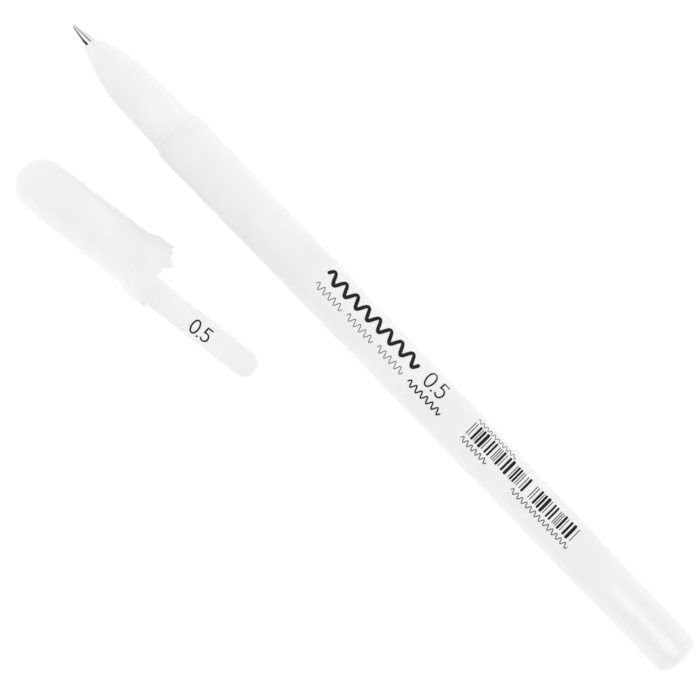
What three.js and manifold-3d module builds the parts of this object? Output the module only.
// A cap-off gel pen: a stick pen lying on a table beside its clip cap.
// Millimetres, +Z up, origin under the middle of the pair, table at z = 0, pen along +X.
// Turned pieces are drawn as [distance along the axis, radius] outlines and revolved.
import * as THREE from 'three';
import { mergeVertices } from 'three/addons/utils/BufferGeometryUtils.js';
import Module from 'manifold-3d';

// ---- driving dimensions: pen, measured from the writing point towards the tail ----
const PEN_LENGTH = 144.8;
const BALL_R = 0.25;
const NOSE_START = 4.05; // where the metal point leaves the plastic nose
const NOSE_END = 24.3; // the step that stops the cap
const NOSE_FRONT_R = 1.25;
const NOSE_R = 4.06;
const NOSE_CURVE_END = 20; // the bullet-shaped stretch blends into the straight one here
const BARREL_FRONT_R = 4.66;
const BARREL_TAIL_R = 3.985;
const BARREL_WALL = 1;
const BARREL_END = 142.6;
const SPIGOT_END = 33; // how far the nose's spigot reaches into the barrel
const PLUG_START = 128.6; // front of the tail plug, inside the barrel
const TAIL_CORNER_R = 1.9;
const METAL_R = 0.9; // the point's straight neck
const METAL_BODY_R = 1.15;
const METAL_END = 12.6;
const TUBE_R = 2.45;
const TUBE_BORE_R = 1.9;
const TUBE_START = 18.3;
const TUBE_END = 128.1;
const STEM_END = 26.5; // rear end of the tip holder, inside the tube
const INK_END = 108;
const FOLLOWER_LENGTH = 8;

// ---- driving dimensions: cap, measured from its closed end towards the mouth ----
const CAP_DOME = 4;
const CAP_DOME_R = 4.53;
const CAP_R = 4.77;
const CAP_BORE_R = 4.15;
const COLLAR_R = 5.5;
const SHOULDER_START = 24;
const SHOULDER_END = 25.2;
const SHOULDER_SLANT = 1.15; // the shoulder lies this much nearer the mouth on the clip's side
const MOUTH = 27.75;
const LIP = 29.75; // how far the mouth's two horns reach, beside the clip
const NOTCH = 28.85; // bottom of the two notches between the horns and the clip
const NOTCH_TURN = 38; // degrees from the middle of the cut: side of a notch, horn, foot of the horn
const HORN_TURN = 52;
const HORN_FOOT_TURN = 76;
const CUT_TURN = 7; // the middle of the cut lies this many degrees from the clip, towards the pen
const CLIP_END = 51.1;
const CLIP_WIDTH = 4.88;
const CLIP_INNER = 4.8; // clip's inner and outer faces, measured from the cap's axis
const CLIP_OUTER = 5.8;
const CLIP_SPLIT = 30; // the clip bends here
const CLIP_BUMP = 44.6;

// ---- how the two lie, from the pen's writing point ----
const CAP_X = 11.24;
const CAP_Y = -22.64;
const CAP_YAW = 8.3;
const CAP_ROLL = 27.4; // the clip leans this far from straight up, away from the pen

const SNUG = 0.05; // radial clearance between pieces that are pressed together
const GAP = 0.15; // end clearance between pieces that meet

const rad = THREE.MathUtils.degToRad;
const wasm = await Module();
wasm.setup();

// ---- tools ----
const revolve = (outline, segments = 40) =>
  new THREE.LatheGeometry(outline.map(([along, r]) => new THREE.Vector2(r, along)), segments);

const ring = (outline, segments) => revolve([...outline, outline[0]], segments);

const steps = (count) => Array.from({ length: count + 1 }, (_, i) => i / count);

function toSolid(geometry) {
  const bare = geometry.clone();
  bare.deleteAttribute('normal');
  bare.deleteAttribute('uv');
  const merged = mergeVertices(bare, 1e-4);
  const corners = merged.index.array;
  const kept = [];
  for (let i = 0; i < corners.length; i += 3) {
    const [a, b, c] = corners.slice(i, i + 3);
    if (a !== b && b !== c && c !== a) kept.push(a, b, c);
  }
  return new wasm.Manifold(new wasm.Mesh({
    numProp: 3,
    vertProperties: new Float32Array(merged.attributes.position.array),
    triVerts: new Uint32Array(kept),
  }));
}

function toGeometry(solid) {
  const { vertProperties, triVerts } = solid.getMesh();
  const geometry = new THREE.BufferGeometry();
  geometry.setAttribute('position', new THREE.BufferAttribute(vertProperties, 3));
  geometry.setIndex(new THREE.BufferAttribute(triVerts, 1));
  return geometry;
}

// A flat bar of the clip's width whose side view is an outline of [along, from the axis] points.
function bar(outline) {
  const shape = new THREE.Shape(outline.map(([along, out]) => new THREE.Vector2(along, out)));
  const geometry = new THREE.ExtrudeGeometry(shape, { depth: CLIP_WIDTH, bevelEnabled: false });
  geometry.translate(0, 0, -CLIP_WIDTH / 2);
  const [x, y, z] = [[1, 0, 0], [0, 1, 0], [0, 0, 1]].map((v) => new THREE.Vector3(...v));
  return geometry.applyMatrix4(new THREE.Matrix4().makeBasis(y, z, x));
}

const plastic = (color, roughness = 0.45) =>
  new THREE.MeshStandardMaterial({ color, roughness, metalness: 0 });
const steel = (roughness) =>
  new THREE.MeshStandardMaterial({ color: 0xb9bbbd, roughness, metalness: 1 });

function piece(group, name, geometry, material) {
  const mesh = new THREE.Mesh(geometry, material);
  mesh.name = name;
  group.add(mesh);
}

// ---- pen ----
const barrelRadius = (along) => THREE.MathUtils.mapLinear(
  along, NOSE_END, BARREL_END, BARREL_FRONT_R, BARREL_TAIL_R);
const boreRadius = (along) => barrelRadius(along) - BARREL_WALL;

function barrel() {
  const front = NOSE_END + GAP;
  return ring([
    [front, boreRadius(front)],
    [front, NOSE_R + 0.1],
    [front + 0.7, barrelRadius(front + 0.7)], // slanted step
    [BARREL_END, BARREL_TAIL_R],
    [BARREL_END, boreRadius(BARREL_END)],
  ], 48);
}

function noseSection() {
  const bullet = steps(12).map((s) => [
    THREE.MathUtils.lerp(NOSE_START, NOSE_CURVE_END, s ** 1.5),
    NOSE_FRONT_R + (NOSE_R - NOSE_FRONT_R) * (1 - (1 - s ** 1.5) ** 2.9),
  ]);
  const spigot = boreRadius(SPIGOT_END) - SNUG;
  return ring([
    ...bullet,
    [NOSE_END, NOSE_R + 0.03],
    [NOSE_END, spigot],
    [SPIGOT_END - 0.4, spigot],
    [SPIGOT_END, spigot - 0.3],
    [SPIGOT_END, TUBE_R + GAP],
    [15.2, TUBE_R + GAP], // shoulder that takes the tip holder's flange
    [15.2, 1.85],
    [7, 1.85],
    [5.6, METAL_R + SNUG],
    [NOSE_START, METAL_R + SNUG],
  ], 40);
}

// A cup-shaped plug pressed into the barrel's open tail, with a groove that lets air in.
function tailPlug() {
  const head = BARREL_END + GAP;
  const spigot = boreRadius(BARREL_END) - SNUG;
  const corner = steps(6).map((s) => [
    PEN_LENGTH - TAIL_CORNER_R * (1 - Math.sin(s * Math.PI / 2)),
    BARREL_TAIL_R - TAIL_CORNER_R * (1 - Math.cos(s * Math.PI / 2)),
  ]);
  const plug = revolve([
    [142.2, 0],
    [142.2, 2],
    [PLUG_START, 2.1],
    [PLUG_START, spigot - 0.25],
    [PLUG_START + 0.6, spigot],
    [head, spigot],
    [head, BARREL_TAIL_R],
    ...corner,
    [PEN_LENGTH, 0],
  ]);
  const groove = new THREE.BoxGeometry(0.6, head + 0.3 - PLUG_START, 0.4);
  groove.translate(0, (head + PLUG_START) / 2, -spigot);
  const outlet = new THREE.BoxGeometry(0.6, 0.3, 2);
  outlet.translate(0, head + 0.14, 0.2 - BARREL_TAIL_R);
  return toGeometry(toSolid(plug).subtract(toSolid(groove).add(toSolid(outlet))));
}

// The stainless point: a cone, a neck, and a thicker body held in the tip holder.
function tipHousing() {
  return ring([
    [0.17, 0.245], // lip that keeps the ball in
    [0.17, 0.3],
    [3.15, METAL_R],
    [6, METAL_R],
    [6, METAL_BODY_R],
    [METAL_END - 0.2, METAL_BODY_R],
    [METAL_END, METAL_BODY_R - 0.15],
    [METAL_END, 0.55],
    [3.4, 0.55],
    [3.1, 0.12], // fine channel to the ball
    [0.66, 0.12],
    [0.52, 0.28],
    [0.24, 0.28],
  ], 24);
}

function tipHolder() {
  return ring([
    [7.2, METAL_BODY_R + SNUG],
    [7.2, 1.5],
    [8.2, 1.7],
    [15.5, 1.75],
    [15.5, 2.35], // flange against the nose's shoulder
    [TUBE_START - 0.3, 2.35],
    [TUBE_START - 0.3, TUBE_BORE_R - SNUG],
    [STEM_END - 0.5, TUBE_BORE_R - SNUG],
    [STEM_END, 1.6],
    [STEM_END, 0.95],
    [METAL_END + GAP, 0.95],
    [METAL_END + GAP, METAL_BODY_R + SNUG],
  ], 32);
}

const reservoirTube = () => ring([
  [TUBE_START, TUBE_BORE_R],
  [TUBE_START, TUBE_R],
  [TUBE_END, TUBE_R],
  [TUBE_END, TUBE_BORE_R],
], 32);

const gelInk = () => revolve([
  [STEM_END - 12, 0],
  [STEM_END - 12, 0.9],
  [STEM_END + GAP, 0.9],
  [STEM_END + GAP, TUBE_BORE_R - SNUG],
  [INK_END, TUBE_BORE_R - SNUG],
  [INK_END, 0],
], 32);

// Grease that follows the ink, hollowed at the rear by its own skin.
const inkFollower = () => revolve([
  [INK_END + GAP, 0],
  [INK_END + GAP, TUBE_BORE_R - SNUG],
  [INK_END + GAP + FOLLOWER_LENGTH, TUBE_BORE_R - SNUG],
  [INK_END + GAP + FOLLOWER_LENGTH - 0.6, 1.2],
  [INK_END + GAP + FOLLOWER_LENGTH - 0.9, 0],
], 32);

function writingBall() {
  const geometry = new THREE.SphereGeometry(BALL_R, 20, 12);
  return geometry.translate(0, BALL_R, 0);
}

// ---- cap ----
// The mouth's edge is straight away from the clip, rises to a horn beside it, and dips into a notch.
function mouthEdge(angle) {
  const turn = Math.abs(THREE.MathUtils.radToDeg(angle) + CUT_TURN);
  if (turn > HORN_TURN) {
    const rise = Math.max(0, HORN_FOOT_TURN - turn) / (HORN_FOOT_TURN - HORN_TURN);
    return MOUTH + (LIP - MOUTH) * rise ** 1.5;
  }
  const rise = Math.max(0, turn - NOTCH_TURN) / (HORN_TURN - NOTCH_TURN);
  return NOTCH + (LIP - NOTCH) * rise ** 1.3;
}

function capShell() {
  const dome = steps(8).map((s) => [
    CAP_DOME * (1 - Math.cos(s * Math.PI / 2)),
    CAP_DOME_R * Math.sin(s * Math.PI / 2),
  ]);
  const shell = revolve([
    ...dome,
    [SHOULDER_START, CAP_R],
    [SHOULDER_END, COLLAR_R],
    [MOUTH - 0.18, COLLAR_R],
    [MOUTH, COLLAR_R - 0.1],
    [MOUTH, 4.75],
    [27.55, 4.72], // lead-in, which also clears the barrel's front edge
    [27.1, CAP_BORE_R],
    [21.6, CAP_BORE_R - 0.02],
    [21.3, CAP_BORE_R - 0.08], // snap ring
    [21, CAP_BORE_R - 0.03],
    [9, 3.9],
    [5, 3.75],
    [2.3, 3.05],
    [2.1, 2.7], // foot of the boss that holds the seal
    [5.2, 2.65],
    [5.2, 2.2],
    [1.3, 2.15],
    [1.3, 0],
  ], 60);
  const place = shell.attributes.position;
  for (let i = 0; i < place.count; i += 1) {
    const along = place.getY(i);
    const angle = Math.atan2(place.getX(i), place.getZ(i));
    const onShoulder = along > SHOULDER_START - 0.1 && along < SHOULDER_END + 0.1;
    if (onShoulder) place.setY(i, along + SHOULDER_SLANT * Math.cos(angle));
    if (along > MOUTH - 0.2) place.setY(i, along + mouthEdge(angle) - MOUTH);
  }
  const shoulder = SHOULDER_END + SHOULDER_SLANT; // its rear edge under the clip
  const root = bar([
    [shoulder - 1, CLIP_INNER],
    [CLIP_SPLIT, CLIP_INNER],
    [CLIP_SPLIT, CLIP_OUTER],
    [shoulder + 2, CLIP_OUTER],
    [shoulder + 0.4, COLLAR_R + 0.12],
    [shoulder - 1, CLIP_INNER + 0.1],
  ]);
  return toGeometry(toSolid(shell).add(toSolid(root)));
}

function clip() {
  const start = CLIP_SPLIT + GAP;
  const side = bar([
    [start, CLIP_INNER],
    [CLIP_BUMP - 0.9, CLIP_INNER],
    [CLIP_BUMP - 0.4, CLIP_INNER - 0.2],
    [CLIP_BUMP + 0.4, CLIP_INNER - 0.2],
    [CLIP_BUMP + 0.9, CLIP_INNER],
    [CLIP_END, CLIP_INNER + 0.15],
    [CLIP_END, CLIP_OUTER - 0.15],
    [CLIP_END - 3, CLIP_OUTER],
    [start, CLIP_OUTER],
  ]);
  const half = CLIP_WIDTH / 2;
  const corner = 2;
  const plan = new THREE.Shape();
  plan.moveTo(-half, start - 1);
  plan.lineTo(half, start - 1);
  plan.lineTo(half, CLIP_END - corner);
  plan.absarc(half - corner, CLIP_END - corner, corner, 0, Math.PI / 2);
  plan.absarc(corner - half, CLIP_END - corner, corner, Math.PI / 2, Math.PI);
  const height = CLIP_OUTER - CLIP_INNER + 1;
  const outline = new THREE.ExtrudeGeometry(plan, { depth: height, bevelEnabled: false, curveSegments: 8 });
  outline.translate(0, 0, CLIP_INNER - 0.5);
  return toGeometry(toSolid(side).intersect(toSolid(outline)));
}

// Soft plug that the writing point rests in when the cap is on.
const capSeal = () => revolve([
  [1.3 + GAP, 0],
  [1.3 + GAP, 2.05],
  [4.5, 2.1],
  [4.5, 0.9],
  [3.75, 0],
], 32);

// ---- laying out ----
// Lays down a group whose axis runs along +Y: it is rolled, its axis turned to +X, then pitched and yawed.
function lay(group, { x = 0, y = 0, roll = 0, pitch = 0, yaw = 0 }) {
  group.rotation.y = rad(roll);
  const level = new THREE.Group();
  level.rotation.z = -Math.PI / 2;
  level.add(group);
  const placed = new THREE.Group();
  placed.rotation.set(0, pitch, rad(yaw), 'ZYX');
  placed.add(level);
  placed.position.set(x, y, -new THREE.Box3().setFromObject(placed, true).min.z);
  return placed;
}

const pen = new THREE.Group();
piece(pen, 'barrel', barrel(), plastic(0xf1f1ef));
piece(pen, 'nose_section', noseSection(), plastic(0xf2f2f0));
piece(pen, 'tail_plug', tailPlug(), plastic(0xf5f5f3));
piece(pen, 'tip_housing', tipHousing(), steel(0.22));
piece(pen, 'tip_holder', tipHolder(), plastic(0xf0f0ee, 0.35));
piece(pen, 'reservoir_tube', reservoirTube(), plastic(0xeeeeec, 0.3));
piece(pen, 'gel_ink', gelInk(), plastic(0xf7f7f5, 0.25));
piece(pen, 'ink_follower', inkFollower(), plastic(0xecece4, 0.2));
piece(pen, 'writing_ball', writingBall(), steel(0.1));

const cap = new THREE.Group();
piece(cap, 'cap_shell', capShell(), plastic(0xefefed));
piece(cap, 'clip', clip(), plastic(0xefefed));
piece(cap, 'cap_seal', capSeal(), plastic(0xe6e6e2, 0.7));

// Each rests on the straight line that touches its front and rear ends from below.
const penPitch = Math.atan((BARREL_FRONT_R - BARREL_TAIL_R) / (BARREL_END - NOSE_END));
const collarRest = SHOULDER_END - SHOULDER_SLANT * Math.cos(rad(CAP_ROLL));
const capPitch = -Math.atan((COLLAR_R - CAP_DOME_R) / (collarRest - CAP_DOME));
const gelPen = new THREE.Group();
gelPen.add(lay(pen, { pitch: penPitch }));
gelPen.add(lay(cap, { x: CAP_X, y: CAP_Y, roll: CAP_ROLL, pitch: capPitch, yaw: CAP_YAW }));

const middle = new THREE.Box3().setFromObject(gelPen, true).getCenter(new THREE.Vector3());
gelPen.position.set(-middle.x, -middle.y, 0);

export default gelPen;
